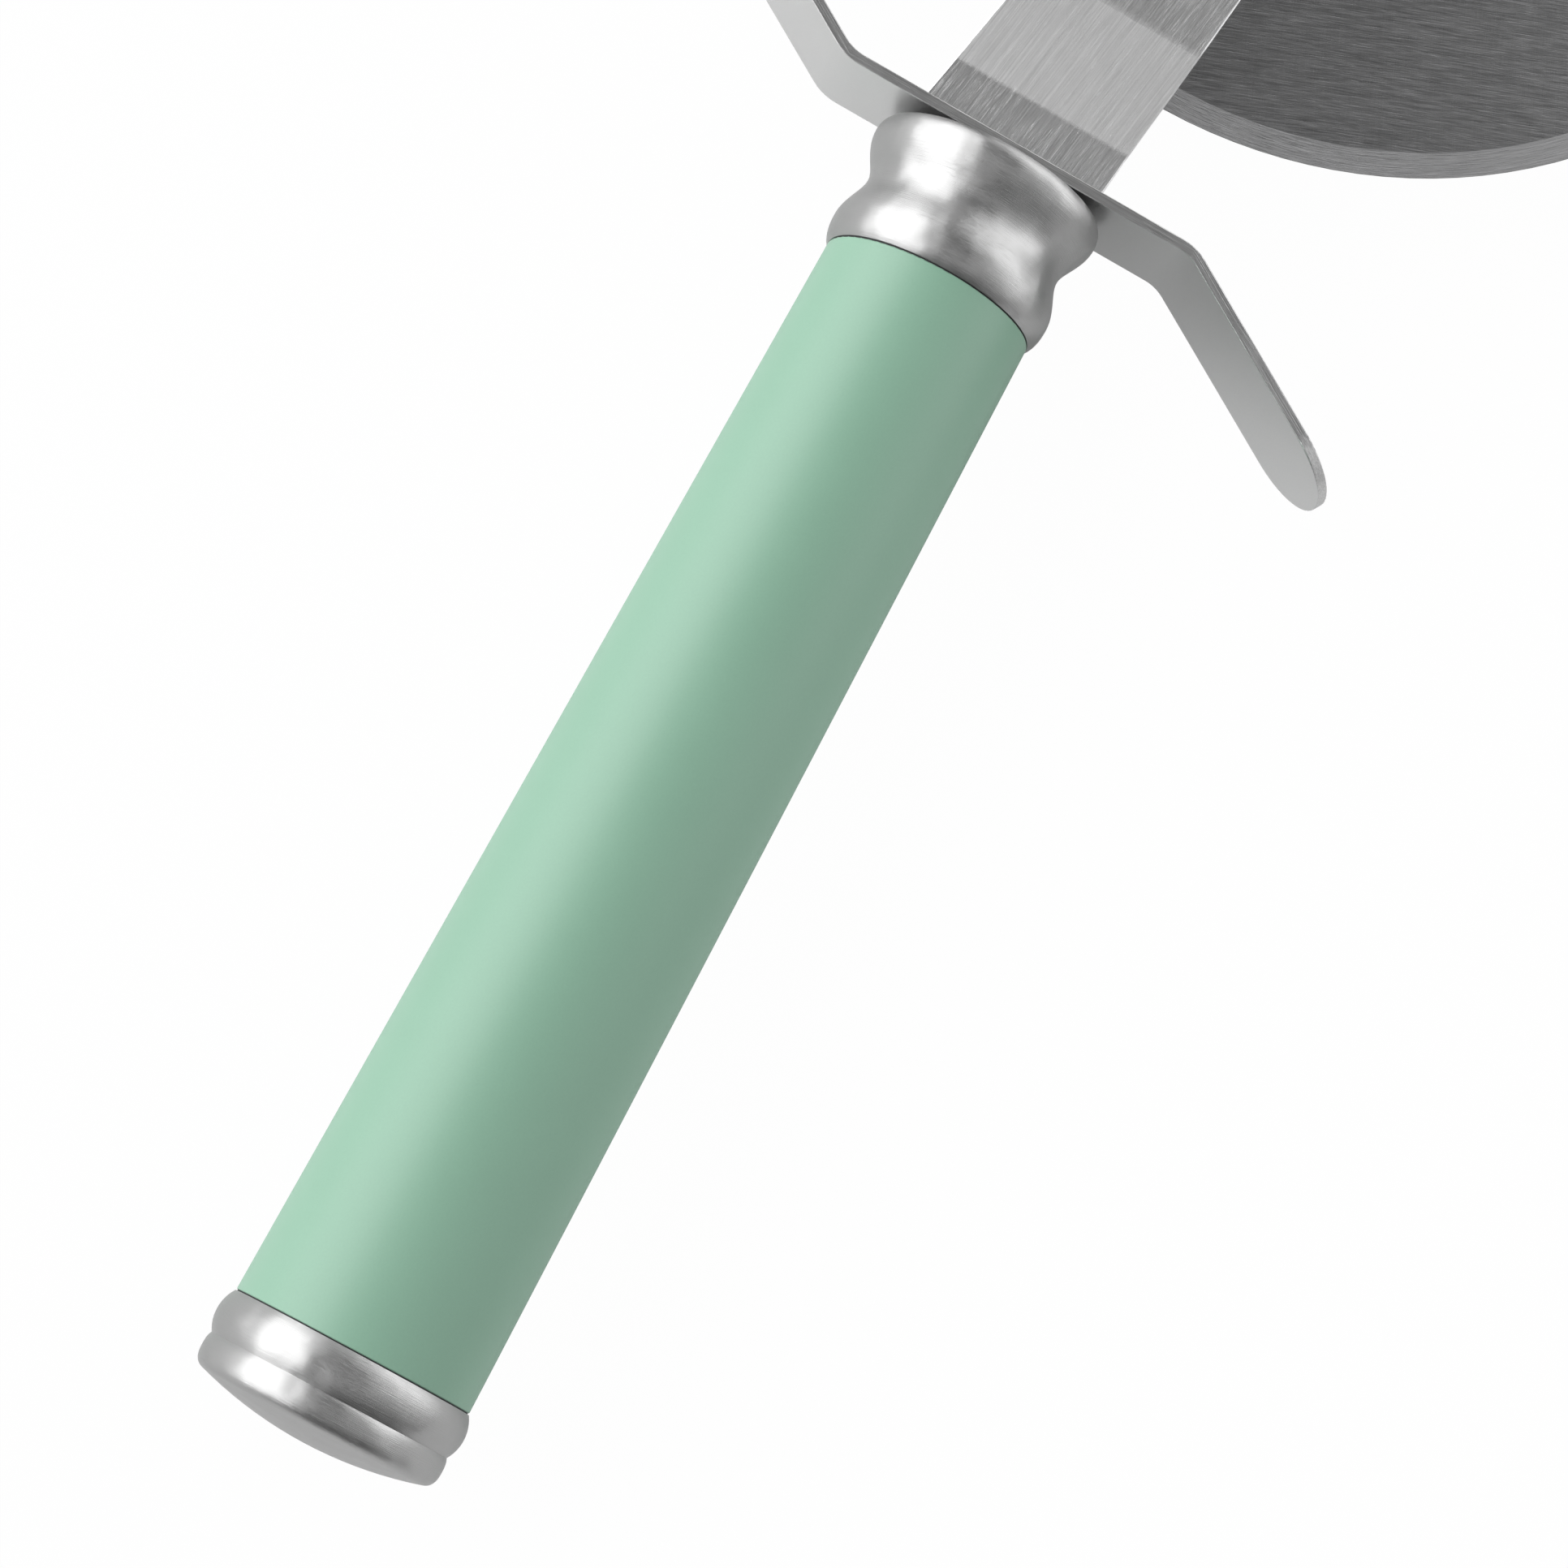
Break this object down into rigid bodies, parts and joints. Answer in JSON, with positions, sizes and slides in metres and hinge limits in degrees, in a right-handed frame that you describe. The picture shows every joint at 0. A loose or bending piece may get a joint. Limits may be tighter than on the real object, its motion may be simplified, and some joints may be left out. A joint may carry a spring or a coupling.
{
  "type": "pizza wheel",
  "caption": "Hand-held pizza wheel: bevelled steel disc on a leaning, cranked arm, bent finger guard, turned steel bolster and end cap, tapered mint-green grip.",
  "frame": {"origin": "on the handle's axis, at the front end of the grip, where the grip meets the bolster", "axes": "+X along the handle towards the blade, +Z along the axle with the arm's side up, +Y to the left of the handle seen from above"},
  "size_m": [0.24, 0.1, 0.0236],
  "materials": {
    "brushed_steel": "brushed along its length",
    "ground_steel": "brushed faces with a ground bevel",
    "polished_steel": "satin polish",
    "mint_plastic": "satin with a very fine grain",
    "dark_rubber": "matt",
    "grey_nylon": "matt",
    "white_acetal": "smooth, slightly waxy",
    "plated_steel": "plain bright plated",
    "hub_brass": "turned"
  },
  "bodies": {
    "handle": {"arm": "brushed_steel", "guard": "brushed_steel", "bolster": "polished_steel", "bolster_insert": "grey_nylon", "front_seal": "dark_rubber", "handle_sleeve": "mint_plastic", "rear_seal": "dark_rubber", "core_upper": "grey_nylon", "core_lower": "grey_nylon", "tang_pins": "plated_steel", "tie_rod": "plated_steel", "rod_pin": "plated_steel", "clamp_washer": "plated_steel", "spring_washer": "plated_steel", "clamp_nut": "plated_steel", "end_cap": "polished_steel", "axle_pin": "polished_steel", "axle_nut": "polished_steel", "upper_washer": "white_acetal", "lower_washer": "white_acetal"},
    "blade": {"blade_disc": "ground_steel", "hub_bush": "hub_brass", "hub_collar": "hub_brass"}
  },
  "joints": [
    {"name": "blade_spin", "type": "hinge", "parent": "handle", "child": "blade", "pos_m": [0.0762, -0.0095, 0], "axis": [0, 0, 1], "continuous": true}
  ]
}
